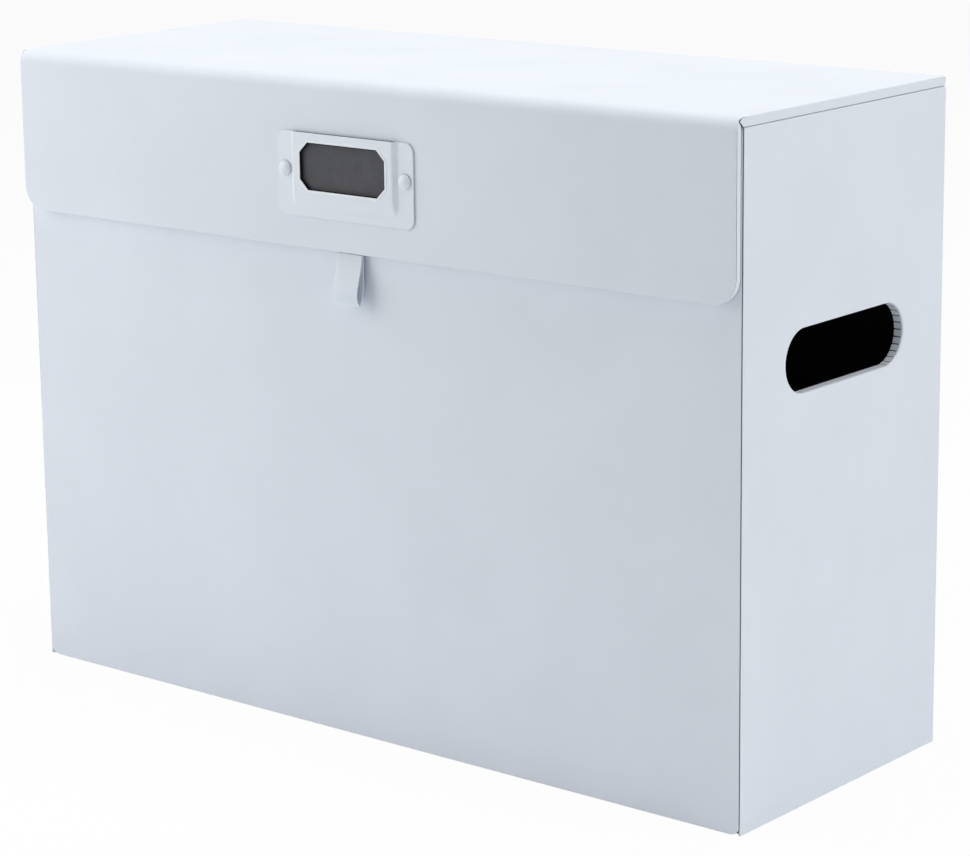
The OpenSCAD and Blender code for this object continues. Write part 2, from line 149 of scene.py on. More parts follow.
# ---- Greyboard of the walls, base, lid and flap ----
# Pressed grey board, 2 to 3 mm thick, die-cut and bevelled. It shows only at cut edges inside
# the folds, so the CAD panels stay, with short dull fibres about 2 mm long.
greyboard, tree = finish_named("pressed_greyboard")
place = add(tree, "TexCoord", {}, {})
stretched = add(tree, "Mapping", {"Scale": (1, 1, 3)}, {"Vector": (place, "Object")})
fibres = add(tree, "TexNoise", {"Scale": 480.0, "Detail": 6.0, "Roughness": 0.7}, {
    "Vector": (stretched, "Vector")})
pulp = add(tree, "ValToRGB", {}, {"Fac": (fibres, "Fac")})
pulp.color_ramp.elements[0].position = 0.3
pulp.color_ramp.elements[0].color = linear("#716d66")
pulp.color_ramp.elements[1].position = 0.7
pulp.color_ramp.elements[1].color = linear("#8e897f")
rough = add(tree, "Bump", {"Strength": 0.5, "Distance": 0.00008}, {"Height": (fibres, "Fac")})
board = add(tree, "BsdfPrincipled", {"Roughness": 0.92, "IOR": 1.45}, {
    "Base Color": (pulp, "Color"), "Normal": (rough, "Normal")})
add(tree, "OutputMaterial", {}, {"Surface": (board, 0)})


def dress(finish, *names):
    """Gives CAD nodes a finish."""
    for name in names:
        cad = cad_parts[name]
        cad.data.materials.clear()
        cad.data.materials.append(finish)


dress(greyboard, "base_board", "front_wall", "back_wall", "left_wall", "right_wall", "lid_board",
      "flap_board")


# ---- Black lining papers and corner tapes ----
# Dyed black book paper, glued over the inside of each panel, and cloth tape in the two front
# corners. It is matt, with a faint felt mark about 1 mm across and slightly paler high spots.
lining_paper, tree = finish_named("dyed_black_lining_paper")
place = add(tree, "TexCoord", {}, {})
felt = add(tree, "TexNoise", {"Scale": 950.0, "Detail": 4.0, "Roughness": 0.6}, {
    "Vector": (place, "Object")})
clouds = add(tree, "TexNoise", {"Scale": 18.0, "Detail": 3.0}, {"Vector": (place, "Object")})
both = add(tree, "Math", {"operation": "MULTIPLY"}, {0: (felt, "Fac"), 1: (clouds, "Fac")})
dyed = add(tree, "ValToRGB", {}, {"Fac": (both, 0)})
dyed.color_ramp.elements[0].position = 0.1
dyed.color_ramp.elements[0].color = linear("#2a2b2f")
dyed.color_ramp.elements[1].position = 0.45
dyed.color_ramp.elements[1].color = linear("#38393e")
tooth = add(tree, "Bump", {"Strength": 0.4, "Distance": 0.00004}, {"Height": (felt, "Fac")})
paper = add(tree, "BsdfPrincipled", {"Roughness": 0.82, "IOR": 1.45, "Specular IOR Level": 0.35}, {
    "Base Color": (dyed, "Color"), "Normal": (tooth, "Normal")})
add(tree, "OutputMaterial", {}, {"Surface": (paper, 0)})
dress(lining_paper, "base_lining", "corner_tapes", "front_lining", "back_lining", "left_lining",
      "right_lining", "lid_lining", "flap_lining")


# ---- Hanging rails and their rivets ----
# Two strips of zinc-plated steel on edge, bent to a foot at each end. The plating is dull
# bright with fine rolling marks along the strip, about 0.2 mm apart, drawn at 0.6 mm to show.
zinc, tree = finish_named("zinc_plated_steel")
place = add(tree, "TexCoord", {}, {})
drawn = add(tree, "Mapping", {"Scale": (1600, 12, 1600)}, {"Vector": (place, "Object")})
marks = add(tree, "TexNoise", {"Scale": 1.0, "Detail": 3.0}, {"Vector": (drawn, "Vector")})
plated = add(tree, "ValToRGB", {}, {"Fac": (marks, "Fac")})
plated.color_ramp.elements[0].color = linear("#a7abb0")
plated.color_ramp.elements[1].color = linear("#c8ccd0")
dulled = add(tree, "MapRange", {"To Min": 0.3, "To Max": 0.45}, {"Value": (marks, "Fac")})
ridges = add(tree, "Bump", {"Strength": 0.2, "Distance": 0.00003}, {"Height": (marks, "Fac")})
steel = add(tree, "BsdfPrincipled", {"Metallic": 1.0}, {
    "Base Color": (plated, "Color"), "Roughness": (dulled, "Result"), "Normal": (ridges, "Normal")})
add(tree, "OutputMaterial", {}, {"Surface": (steel, 0)})
dress(zinc, "left_rail", "right_rail")


def only(*objects):
    """Selects these objects alone and makes the first of them active."""
    bpy.ops.object.select_all(action="DESELECT")
    for one in objects:
        one.select_set(True)
    bpy.context.view_layer.objects.active = objects[0]


def begin(name):
    """Names the new primitive, puts its place into its mesh and opens it in edit mode."""
    piece = bpy.context.object
    piece.name = name
    piece.data.name = name
    only(piece)
    bpy.ops.object.transform_apply(location=True, rotation=True, scale=True)
    bpy.ops.object.mode_set(mode="EDIT")
    return piece


def pick(kind, test):
    """In edit mode, selects only the vertices, edges or faces that pass the test."""
    mesh = bpy.context.object.data
    bpy.ops.mesh.select_all(action="DESELECT")
    bpy.ops.mesh.select_mode(type=kind)
    edit = bmesh.from_edit_mesh(mesh)
    edit.normal_update()
    for item in {"VERT": edit.verts, "EDGE": edit.edges, "FACE": edit.faces}[kind]:
        if test(item):
            item.select_set(True)
    bmesh.update_edit_mesh(mesh)


def within(item, **limits):
    """True if every vertex of an edge or face lies within limits such as z=(0.1, 0.2)."""
    spots = [item.co] if hasattr(item, "co") else [v.co for v in item.verts]
    return all(
        low - 1e-5 <= getattr(spot, axis) <= high + 1e-5
        for axis, (low, high) in limits.items() for spot in spots)


def modify(piece, kind, **settings):
    """Adds a modifier to a piece and applies it."""
    if bpy.context.object and bpy.context.object.mode == "EDIT":
        bpy.ops.object.mode_set(mode="OBJECT")
    only(piece)
    modifier = piece.modifiers.new(kind.lower(), kind)
    for key, value in settings.items():
        setattr(modifier, key, value)
    bpy.ops.object.modifier_apply(modifier=modifier.name)


def cut(piece, tool, operation="DIFFERENCE"):
    """Cuts a piece with a tool, or joins the tool to it, and throws the tool away."""
    bpy.ops.object.mode_set(mode="OBJECT")
    modify(piece, "BOOLEAN", object=tool, operation=operation, solver="EXACT")
    bpy.data.objects.remove(tool)


def complete(piece, finish, angle=35):
    """Leaves edit mode, smooths what is round, keeps flats flat and gives the finish."""
    if bpy.context.object.mode == "EDIT":
        bpy.ops.object.mode_set(mode="OBJECT")
    only(piece)
    bpy.ops.object.shade_smooth_by_angle(angle=math.radians(angle))
    modify(piece, "WEIGHTED_NORMAL", keep_sharp=True, weight=60)
    piece.data.materials.clear()
    piece.data.materials.append(finish)


# One round-headed rivet is turned from a flattened ball, then copied to the eight places
rivet_x = (0.1610, 0.1690)
foot_face_y = 0.0613
bpy.ops.mesh.primitive_uv_sphere_add(
    segments=24, ring_count=12, radius=0.0026, location=(0, 0, 0), scale=(1, 0.38, 1))
head = begin("rail_rivet_head")
bpy.ops.mesh.select_all(action="SELECT")
bpy.ops.mesh.bisect(plane_co=(0, 0, 0), plane_no=(0, 1, 0), use_fill=True, clear_outer=True)
bpy.ops.object.mode_set(mode="OBJECT")
heads = []
for side in (-1, 1):
    for x in rivet_x:
        for y in (-1, 1):
            only(head)
            bpy.ops.object.duplicate()
            copy = bpy.context.object
            copy.rotation_euler = (0, 0, 0 if y > 0 else math.pi)
            copy.location = (side * x, y * foot_face_y, 0.236)
            heads.append(copy)
bpy.data.objects.remove(head)
only(*heads)
bpy.ops.object.join()
rail_rivets = begin("rail_rivet_heads")
complete(rail_rivets, zinc, angle=50)
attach(rail_rivets, "case")
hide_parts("rail_rivets")


# ---- Magnetic catch ----
# Two nickel-plated disc magnets let into the flap's board and two keeper discs in the front
# panel. All four are hidden under the papers. The plating is bright with faint pickle marks.
nickel, tree = finish_named("nickel_plated_discs")
place = add(tree, "TexCoord", {}, {})
stain = add(tree, "TexNoise", {"Scale": 300.0, "Detail": 3.0}, {"Vector": (place, "Object")})
bright = add(tree, "ValToRGB", {}, {"Fac": (stain, "Fac")})
bright.color_ramp.elements[0].color = linear("#b9b6b0")
bright.color_ramp.elements[1].color = linear("#cfccc6")
worn = add(tree, "MapRange", {"To Min": 0.2, "To Max": 0.35}, {"Value": (stain, "Fac")})
disc = add(tree, "BsdfPrincipled", {"Metallic": 1.0}, {
    "Base Color": (bright, "Color"), "Roughness": (worn, "Result")})
add(tree, "OutputMaterial", {}, {"Surface": (disc, 0)})
dress(nickel, "keeper_plates", "closure_magnets")


# ---- Front panel cover ----
# White embossed covering paper over the front board, turned over its bevelled ends, its foot and
# 3 mm down inside the top edge. The paper is 0.5 mm thick, so each edge is round to 0.7 mm.
cover_paper, tree = finish_named("white_embossed_cover_paper")
place = add(tree, "TexCoord", {}, {})
# The leather grain's cells are 0.9 mm across and 0.02 mm deep: felt in the sheen, hardly seen
grain = add(tree, "TexVoronoi", {"feature": "SMOOTH_F1", "Scale": 1100.0, "Smoothness": 0.6}, {
    "Vector": (place, "Object")})
fine = add(tree, "TexNoise", {"Scale": 2600.0, "Detail": 2.0}, {"Vector": (place, "Object")})
clouds = add(tree, "TexNoise", {"Scale": 22.0, "Detail": 3.0}, {"Vector": (place, "Object")})
coat = add(tree, "ValToRGB", {}, {"Fac": (clouds, "Fac")})
coat.color_ramp.elements[0].position = 0.35
coat.color_ramp.elements[0].color = linear("#e9eef5")
coat.color_ramp.elements[1].position = 0.65
coat.color_ramp.elements[1].color = linear("#ecf1f8")
sheen = add(tree, "MapRange", {"To Min": 0.46, "To Max": 0.56}, {"Value": (fine, "Fac")})
height = add(tree, "Math", {"operation": "MULTIPLY_ADD", 1: 0.3}, {
    0: (fine, "Fac"), 2: (grain, "Distance")})
emboss = add(tree, "Bump", {"Strength": 0.35, "Distance": 0.00002}, {"Height": (height, 0)})
paper = add(tree, "BsdfPrincipled", {"IOR": 1.48, "Specular IOR Level": 0.4}, {
    "Base Color": (coat, "Color"), "Roughness": (sheen, "Result"), "Normal": (emboss, "Normal")})
add(tree, "OutputMaterial", {}, {"Surface": (paper, 0)})
dress(cover_paper, "base_cover")

bpy.ops.mesh.primitive_cube_add(size=1, location=(0, -0.0645, 0.1295), scale=(0.3616, 0.004, 0.259))
front_cover = begin("front_panel_cover")
pick("VERT", lambda v: v.co.y > -0.063)
bpy.ops.transform.resize(value=(0.1768 / 0.1808, 1, 1), center_override=(0, 0, 0))
pick("EDGE", lambda e: within(e, z=(0, 0)) and abs(e.verts[0].co.x - e.verts[1].co.x) < 0.005)
bpy.ops.mesh.bevel(offset=0.003, offset_type="OFFSET", segments=6, profile=0.5)
pick("EDGE", lambda e: within(e, y=(-0.0665, -0.0665)) or within(
    e, y=(-0.0625, -0.0625), z=(0.259, 0.259)))
bpy.ops.mesh.bevel(offset=0.0007, offset_type="OFFSET", segments=5, profile=0.5)
bpy.ops.mesh.select_all(action="SELECT")
bpy.ops.mesh.bisect(plane_co=(0, 0, 0.256), plane_no=(0, 0, 1))
pick("FACE", lambda f: within(f, y=(-0.0625, -0.0625), z=(0, 0.256)))
bpy.ops.mesh.delete(type="FACE")
modify(front_cover, "SOLIDIFY", thickness=0.0005, offset=-1, use_even_offset=True)
complete(front_cover, cover_paper)
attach(front_cover, "case")
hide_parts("front_cover")


# ---- Wrap cover round the sides and the back ----
# One sheet of the same paper goes round both sides and the back, over their edges and in through
# the hand slots, where it is snipped round the curved ends so that it lies flat on the board.
bpy.ops.mesh.primitive_cube_add(size=1, location=(0, 0.0001, 0.1295), scale=(0.362, 0.1328, 0.259))
wrap = begin("side_and_back_wrap")
bpy.ops.object.mode_set(mode="OBJECT")
bpy.ops.mesh.primitive_cube_add(size=1, location=(0, -0.01375, 0.1295), scale=(0.354, 0.1525, 0.4))
cut(wrap, bpy.context.object)
slot_z = 0.17
slot_radius = 0.012
slot_reach = 0.027
slot_steps = 96
bpy.ops.mesh.primitive_cylinder_add(
    vertices=slot_steps, radius=slot_radius, depth=0.5, location=(0, 0, slot_z),
    rotation=(0, math.radians(90), 0))
slot_tool = begin("slot_tool")
# The cylinder is turned half a step, then pulled apart to the slot's length of 78 mm
bpy.ops.mesh.select_all(action="SELECT")
bpy.ops.transform.rotate(
    value=math.radians(360 / slot_steps / 2), orient_axis="X", center_override=(0, 0, slot_z))
pick("VERT", lambda v: v.co.y > 0)
bpy.ops.transform.translate(value=(0, slot_reach, 0))
pick("VERT", lambda v: v.co.y < 0)
bpy.ops.transform.translate(value=(0, -slot_reach, 0))
cut(wrap, slot_tool)
only(wrap)
bpy.ops.object.mode_set(mode="EDIT")
bpy.ops.mesh.select_all(action="SELECT")
bpy.ops.mesh.remove_doubles(threshold=0.00001)
pick("VERT", lambda v: abs(v.co.x) < 0.1771 and v.co.y < -0.0659)
bpy.ops.transform.translate(value=(0, 0.004, 0))


def on_slot_mouth(e):
    """True for an edge of a hand slot on the outer face of a side."""
    a, b = (v.co for v in e.verts)
    near_slot = within(e, y=(-0.0391, 0.0391), z=(0.1579, 0.1821))
    outside = abs(abs(a.x) - 0.181) < 1e-5 and abs(a.x - b.x) < 1e-5
    return near_slot and outside and e.calc_face_angle(0) > 1


pick("EDGE", on_slot_mouth)
bpy.ops.mesh.bevel(offset=0.0008, offset_type="OFFSET", segments=4, profile=0.5)


def on_outer_corner(e):
    """True for the wrap's outer edges, except round the hand slots, and for its top inner edge."""
    if e.calc_face_angle(0) < 0.6 or within(e, y=(-0.041, 0.041), z=(0.155, 0.185)):
        return False
    a, b = (v.co for v in e.verts)
    flat = [abs(abs(p.x) - 0.181) < 1e-5 or abs(p.y - 0.0665) < 1e-5 for p in (a, b)]
    return all(flat) or within(e, z=(0.259, 0.259))


pick("EDGE", on_outer_corner)
bpy.ops.mesh.bevel(offset=0.00035, offset_type="OFFSET", segments=3, profile=0.5)
bpy.ops.mesh.select_all(action="SELECT")
bpy.ops.mesh.bisect(plane_co=(0, 0, 0.256), plane_no=(0, 0, 1))


def on_board_side(f):
    """True for a face on the board's inner side, below the turn-in."""
    return within(f, z=(0, 0.256)) and (
        within(f, x=(-0.177, -0.177)) or within(f, x=(0.177, 0.177)) or within(f, y=(0.0625, 0.0625)))


pick("FACE", on_board_side)
bpy.ops.mesh.delete(type="FACE")
modify(wrap, "SOLIDIFY", thickness=0.0003, offset=-1, use_even_offset=True)
# The snips are 0.5 mm wide and 13.4 degrees apart, and each end of a slot has 13
snip_radius = 0.0124
snips = []
for y_side in (-1, 1):
    for x_side in (-1, 1):
        for step in range(-6, 7):
            turn = math.radians(step * 13.4 + (0 if y_side > 0 else 180))
            snip_y = y_side * slot_reach + snip_radius * math.cos(turn)
            snip_z = slot_z + snip_radius * math.sin(turn)
            bpy.ops.mesh.primitive_cube_add(
                size=1, scale=(0.0036, 0.0014, 0.0005), rotation=(turn, 0, 0),
                location=(x_side * 0.1782, snip_y, snip_z))
            snips.append(bpy.context.object)
only(*snips)
bpy.ops.object.join()
cut(wrap, bpy.context.object)
# The back hinge cloth is let in flush, 25 mm down the back wall
bpy.ops.mesh.primitive_cube_add(size=1, location=(0, 0.067, 0.2480), scale=(0.3598, 0.002, 0.028))
cut(wrap, bpy.context.object)
complete(wrap, cover_paper)
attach(wrap, "case")
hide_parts("wrap_cover")


# ---- Cover of the lid, the fold and the flap ----
# One sheet of the covering paper, glued over the lid, left free round the fold and glued down the
# flap. It is the hinge of the flap, between the bevelled ends of the boards.
fold_y = -0.0655
fold_z = 0.258
bpy.ops.mesh.primitive_plane_add(size=1, location=(0, -0.0005, 0.263))
sheet = begin("lid_and_flap_cover")
bpy.ops.mesh.select_all(action="SELECT")
bpy.ops.transform.resize(value=(0.362, 0.127, 1), center_override=(0, -0.0005, 0.263))
pick("EDGE", lambda e: within(e, y=(-0.064, -0.064)))
bpy.ops.mesh.extrude_region_move(TRANSFORM_OT_translate={"value": (0, -0.0015, 0)})
bpy.ops.transform.resize(value=(0.1805 / 0.181, 1, 1), center_override=(0, 0, 0))
bpy.ops.mesh.spin(
    steps=14, angle=math.radians(-90), center=(0, fold_y, fold_z), axis=(1, 0, 0))
pick("EDGE", lambda e: within(e, y=(-0.0705, -0.0705), z=(fold_z, fold_z)))
bpy.ops.mesh.extrude_region_move(TRANSFORM_OT_translate={"value": (0, 0, -0.0617)})
pick("VERT", lambda v: v.co.z < 0.197)
bpy.ops.mesh.bevel(offset=0.010, segments=12, affect="VERTICES")
bpy.ops.mesh.select_all(action="SELECT")
bpy.ops.mesh.remove_doubles(threshold=0.00001)
bpy.ops.mesh.normals_make_consistent(inside=False)
top = max(bmesh.from_edit_mesh(sheet.data).faces, key=lambda f: f.calc_center_median().y)
if top.normal.z < 0:
    bpy.ops.mesh.flip_normals()
modify(sheet, "SOLIDIFY", thickness=0.0005, offset=-1, use_even_offset=True)
only(sheet)
bpy.ops.object.mode_set(mode="EDIT")


def on_sheet_edge(e):
    """True for an edge of the sheet's outer face at its ends and its foot."""
    if e.calc_face_angle(0) < 1:
        return False
    for v in e.verts:
        over_fold = v.co.y < fold_y and v.co.z > fold_z
        away = math.hypot(v.co.y - fold_y, v.co.z - fold_z) > 0.00495
        outer = away if over_fold else v.co.z > 0.26295 or v.co.y < -0.07045
        if not outer:
            return False
    return True


pick("EDGE", on_sheet_edge)
bpy.ops.mesh.bevel(offset=0.0004, offset_type="OFFSET", segments=3, profile=0.5)
# The sheet meets the back hinge cloth edge to edge on the flat of the lid
bpy.ops.mesh.select_all(action="SELECT")
bpy.ops.mesh.bisect(plane_co=(0, 0.06, 0), plane_no=(0, 1, 0), use_fill=True, clear_outer=True)
complete(sheet, cover_paper)
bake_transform(sheet)
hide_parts("lid_cover", "front_hinge_cloth", "flap_cover")


# ---- Turned edges of the lid ----
# The same paper turned down over the lid's two ends and in under its board, where the black
# lining covers its raw edge. Its front ends are cut on the bevel of the fold.
bpy.ops.mesh.primitive_cube_add(
    size=1, location=(0, -0.0019, 0.260875), scale=(0.362, 0.1352, 0.00325))
lid_turns = begin("lid_turned_edges")
pick("FACE", lambda f: abs(f.normal.z) > 0.9 and f.calc_center_median().z > 0.2620 or abs(f.normal.y) > 0.9)
bpy.ops.mesh.delete(type="FACE")
pick("EDGE", lambda e: e.calc_face_angle(0) > 1)
bpy.ops.mesh.bevel(offset=0.00025, offset_type="OFFSET", segments=3, profile=0.5)
for x in (-0.1788, 0.1788):
    bpy.ops.mesh.select_all(action="SELECT")
    bpy.ops.mesh.bisect(plane_co=(x, 0, 0), plane_no=(1, 0, 0))
bpy.ops.mesh.select_all(action="SELECT")
bpy.ops.mesh.bisect(plane_co=(0, 0.064, 0), plane_no=(0, 1, 0))
pick("FACE", lambda f: within(f, x=(-0.1788, 0.1788), y=(-0.08, 0.064)))
bpy.ops.mesh.delete(type="FACE")
bpy.ops.mesh.select_all(action="SELECT")
bpy.ops.mesh.bisect(
    plane_co=(0, -0.0692284, 0.2619284), plane_no=(0, 1, 1), clear_inner=True)
# The corner under the fold is cut off, so that the paper stays inside the fold's round
under_fold = (0, -0.068753, 0.261253)
bpy.ops.mesh.select_all(action="SELECT")
bpy.ops.mesh.bisect(plane_co=under_fold, plane_no=(0, -1, 1), clear_outer=True)
modify(lid_turns, "SOLIDIFY", thickness=0.00014, offset=-1, use_even_offset=True)
complete(lid_turns, cover_paper)
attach(lid_turns, "lid")
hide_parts("lid_cover")


# ---- Turned edges of the flap ----
# The paper turned over the flap's ends, round corners and lower edge and 2 mm in behind its
# board. A notch in the lower edge lets the pull strap's tail through.
bpy.ops.mesh.primitive_cube_add(
    size=1, location=(0, -0.068425, 0.22965), scale=(0.361, 0.00245, 0.0667))
flap_turns = begin("flap_turned_edges")
pick("EDGE", lambda e: within(e, z=(0.1963, 0.1963)) and e.verts[0].co.x * e.verts[1].co.x > 0)
bpy.ops.mesh.bevel(offset=0.010, offset_type="OFFSET", segments=12, profile=0.5)
pick("FACE", lambda f: f.normal.y > 0.9)
bpy.ops.mesh.inset(thickness=0.0018, depth=0, use_even_offset=True)
bpy.ops.mesh.delete(type="FACE")
pick("FACE", lambda f: f.normal.y < -0.9)
bpy.ops.mesh.delete(type="FACE")
pick("EDGE", lambda e: within(e, y=(-0.0672, -0.0672)) and e.calc_face_angle(0) > 1)
bpy.ops.mesh.bevel(offset=0.0004, offset_type="OFFSET", segments=3, profile=0.5)
bpy.ops.mesh.select_all(action="SELECT")
bpy.ops.mesh.bisect(
    plane_co=(0, -0.0694284, 0.2617284), plane_no=(0, 1, 1), clear_outer=True)
bpy.ops.mesh.select_all(action="SELECT")
bpy.ops.mesh.bisect(plane_co=under_fold, plane_no=(0, -1, 1), clear_outer=True)
modify(flap_turns, "SOLIDIFY", thickness=0.00014, offset=-1, use_even_offset=True)
bpy.ops.mesh.primitive_cube_add(size=1, location=(0, -0.0680, 0.2), scale=(0.0127, 0.0030, 0.022))
cut(flap_turns, bpy.context.object)
complete(flap_turns, cover_paper)
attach(flap_turns, "flap")
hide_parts("flap_cover")


# ---- Back hinge cloth ----
# A strip of the covering paper glued 25 mm down the back wall, free over the joint, and glued
# round the lid's back edge on to its top. The lid turns on it.
bpy.ops.mesh.primitive_plane_add(
    size=1, location=(0, 0.0665, 0.2463), rotation=(math.radians(-90), 0, 0))
hinge = begin("back_hinge_cloth_strip")
bpy.ops.mesh.select_all(action="SELECT")
bpy.ops.transform.resize(value=(0.3596, 1, 0.0246), center_override=(0, 0.0665, 0.2463))
for low, rise, back in ((0.2586, 0.00065, -0.00015), (0.25925, 0.00065, -0.00015), (0.2599, 0.0016, 0)):
    pick("EDGE", lambda e: within(e, z=(low, low)))
    bpy.ops.mesh.extrude_region_move(TRANSFORM_OT_translate={"value": (0, back, rise)})
    if low == 0.25925:
        bpy.ops.transform.resize(value=(0.181 / 0.1798, 1, 1), center_override=(0, 0, 0))
back_round_y = 0.0647
back_round_z = 0.2615
pick("EDGE", lambda e: within(e, z=(back_round_z, back_round_z)))
bpy.ops.mesh.spin(
    steps=6, angle=math.radians(-90), center=(0, back_round_y, back_round_z), axis=(1, 0, 0))
pick("EDGE", lambda e: within(e, y=(back_round_y, back_round_y), z=(0.263, 0.263)))
bpy.ops.mesh.extrude_region_move(TRANSFORM_OT_translate={"value": (0, -0.0077, 0)})
bpy.ops.mesh.select_all(action="SELECT")
bpy.ops.mesh.remove_doubles(threshold=0.00001)
bpy.ops.mesh.normals_make_consistent(inside=False)
low_face = min(bmesh.from_edit_mesh(hinge.data).faces, key=lambda f: f.calc_center_median().z)
if low_face.normal.y < 0:
    bpy.ops.mesh.flip_normals()
modify(hinge, "SOLIDIFY", thickness=0.00048, offset=-1, use_even_offset=True)
only(hinge)
bpy.ops.object.mode_set(mode="EDIT")


def on_hinge_edge(e):
    """True for an edge of the cloth's outer face at its ends."""
    if e.calc_face_angle(0) < 1:
        return False
    for v in e.verts:
        round_back = v.co.y > back_round_y and v.co.z > back_round_z
        away = math.hypot(v.co.y - back_round_y, v.co.z - back_round_z) > 0.00145
        outer = away if round_back else v.co.z > 0.26295 or v.co.y > 0.06617
        if not outer:
            return False
    return True


pick("EDGE", on_hinge_edge)
bpy.ops.mesh.bevel(offset=0.0004, offset_type="OFFSET", segments=3, profile=0.5)
bpy.ops.mesh.select_all(action="SELECT")
bpy.ops.mesh.bisect(plane_co=(0, 0.06, 0), plane_no=(0, 1, 0), use_fill=True, clear_inner=True)
complete(hinge, cover_paper)
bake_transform(hinge)
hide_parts("back_hinge_cloth")


# ---- Label holder ----
# A plate pressed from 0.5 mm steel sheet: a shallow channel, open at the top, takes the card
# behind a window with cut corners. Painted white after pressing, so all its steps are soft.
enamel, tree = finish_named("white_enamelled_steel")
place = add(tree, "TexCoord", {}, {})
flow = add(tree, "TexNoise", {"Scale": 120.0, "Detail": 2.0}, {"Vector": (place, "Object")})
tint = add(tree, "ValToRGB", {}, {"Fac": (flow, "Fac")})
tint.color_ramp.elements[0].color = linear("#eaf1f7")
tint.color_ramp.elements[1].color = linear("#eff4f9")
gloss = add(tree, "MapRange", {"To Min": 0.3, "To Max": 0.38}, {"Value": (flow, "Fac")})
# Orange peel of the paint, about 2 mm across
peel = add(tree, "TexNoise", {"Scale": 520.0, "Detail": 1.0}, {"Vector": (place, "Object")})
skin = add(tree, "Bump", {"Strength": 0.25, "Distance": 0.00002}, {"Height": (peel, "Fac")})
paint = add(tree, "BsdfPrincipled", {"IOR": 1.5}, {
    "Base Color": (tint, "Color"), "Roughness": (gloss, "Result"), "Normal": (skin, "Normal")})
add(tree, "OutputMaterial", {}, {"Surface": (paint, 0)})

bpy.ops.mesh.primitive_grid_add(
    x_subdivisions=174, y_subdivisions=67, size=1, location=(0, -0.0713, 0.2252),
    rotation=(math.radians(90), 0, 0))
holder = begin("pressed_label_holder")
bpy.ops.mesh.select_all(action="SELECT")
bpy.ops.transform.resize(value=(0.0694, 1, 0.0334), center_override=(0, -0.0713, 0.2252))


def eased(t):
    """A soft step from 0 to 1."""
    t = min(max(t, 0), 1)
    return t * t * (3 - 2 * t)


# The press pushes the channel 1.5 mm forward. It fades out over 2.2 mm at the sides and 7.5 mm below.
blank = bmesh.from_edit_mesh(holder.data)
for v in blank.verts:
    v.co.y -= 0.0015 * eased((0.0272 - abs(v.co.x)) / 0.0022) * eased((v.co.z - 0.2115) / 0.0075)
bmesh.update_edit_mesh(holder.data)
modify(holder, "SOLIDIFY", thickness=0.0005, offset=-1, use_even_offset=True)


def plate_block(name, y, depth, width, height, corner):
    """A block in front of the flap, as wide and high as a plate, with round corners."""
    bpy.ops.mesh.primitive_cube_add(size=1, location=(0, y, 0.2252), scale=(width, depth, height))
    block = begin(name)
    pick("EDGE", lambda e: abs(e.verts[0].co.y - e.verts[1].co.y) > depth / 2)
    bpy.ops.mesh.bevel(offset=corner, offset_type="OFFSET", segments=8, profile=0.5)
    bpy.ops.mesh.select_all(action="SELECT")
    bpy.ops.object.mode_set(mode="OBJECT")
    return block


def window_block(name, y, depth, wider):
    """A block the shape of the window, with its cut corners, a little wider all round."""
    bpy.ops.mesh.primitive_cube_add(
        size=1, location=(0, y, 0.22885), scale=(0.0433 + 2 * wider, depth, 0.0185 + 2 * wider))
    block = begin(name)
    pick("EDGE", lambda e: abs(e.verts[0].co.y - e.verts[1].co.y) > depth / 2)
    bpy.ops.mesh.bevel(offset=0.004 + 0.586 * wider, offset_type="OFFSET", segments=1)
    bpy.ops.object.mode_set(mode="OBJECT")
    return block


cut(holder, plate_block("outline", -0.0712, 0.01, 0.069, 0.033, 0.004), "INTERSECT")
# The sheet is hemmed inwards along the channel's mouth
bpy.ops.mesh.primitive_cube_add(size=1, location=(0, -0.0720, 0.24105), scale=(0.0492, 0.0012, 0.0011))
cut(holder, bpy.context.object, "UNION")
cut(holder, window_block("window_tool", -0.0720, 0.01, 0.00038))
only(holder)
bpy.ops.object.mode_set(mode="EDIT")
bpy.ops.mesh.select_all(action="SELECT")
bpy.ops.mesh.remove_doubles(threshold=0.00001)
bpy.ops.mesh.dissolve_limited(angle_limit=math.radians(0.05))
pick("EDGE", lambda e: within(e, y=(-0.07132, -0.07128)) and e.calc_face_angle(0) > 1)
bpy.ops.mesh.bevel(offset=0.00015, offset_type="OFFSET", segments=2, profile=0.5)
bpy.ops.object.mode_set(mode="OBJECT")
# A smaller packing sheet behind it leaves a thin shadow line round the plate
backing = plate_block("packing_sheet", -0.07065, 0.0003, 0.0650, 0.0290, 0.002)
only(holder, backing)
bpy.ops.object.join()
complete(holder, enamel, angle=30)
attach(holder, "flap")
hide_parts("label_holder")


# ---- Rim and felt of the window ----
# The window's edge is rolled to a fine lip, painted whiter than the plate as a painted highlight. Behind it
# a frame of black felt, 1 mm thick, presses on the card and shows as a black line at the lip: painted shade
# for the shadow that the lip casts on the card.
# A brighter copy of the plate's enamel: the lip's whiter colour is a painted highlight
thick_enamel = enamel.copy()
thick_enamel.name = "thick_white_enamel_of_the_lip"
for node in thick_enamel.node_tree.nodes:
    if node.type == "VALTORGB":
        node.color_ramp.elements[0].color = linear("#f4f9fd")
        node.color_ramp.elements[1].color = linear("#f9fcff")

rim = window_block("window_lip", -0.07286, 0.0003, 0.0009)
cut(rim, window_block("lip_hole", -0.07286, 0.01, 0))
only(rim)
bpy.ops.object.mode_set(mode="EDIT")
pick("EDGE", lambda e: within(e, y=(-0.07302, -0.07300)) and e.calc_face_angle(0) > 1)
bpy.ops.mesh.bevel(offset=0.00015, offset_type="OFFSET", segments=3, profile=0.5)
complete(rim, thick_enamel)
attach(rim, "flap")
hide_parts("label_holder")

# The felt's near-black is painted shade: it darkens the card under the window's lip, where the shadow falls
felt, tree = finish_named("black_wool_felt")
place = add(tree, "TexCoord", {}, {})
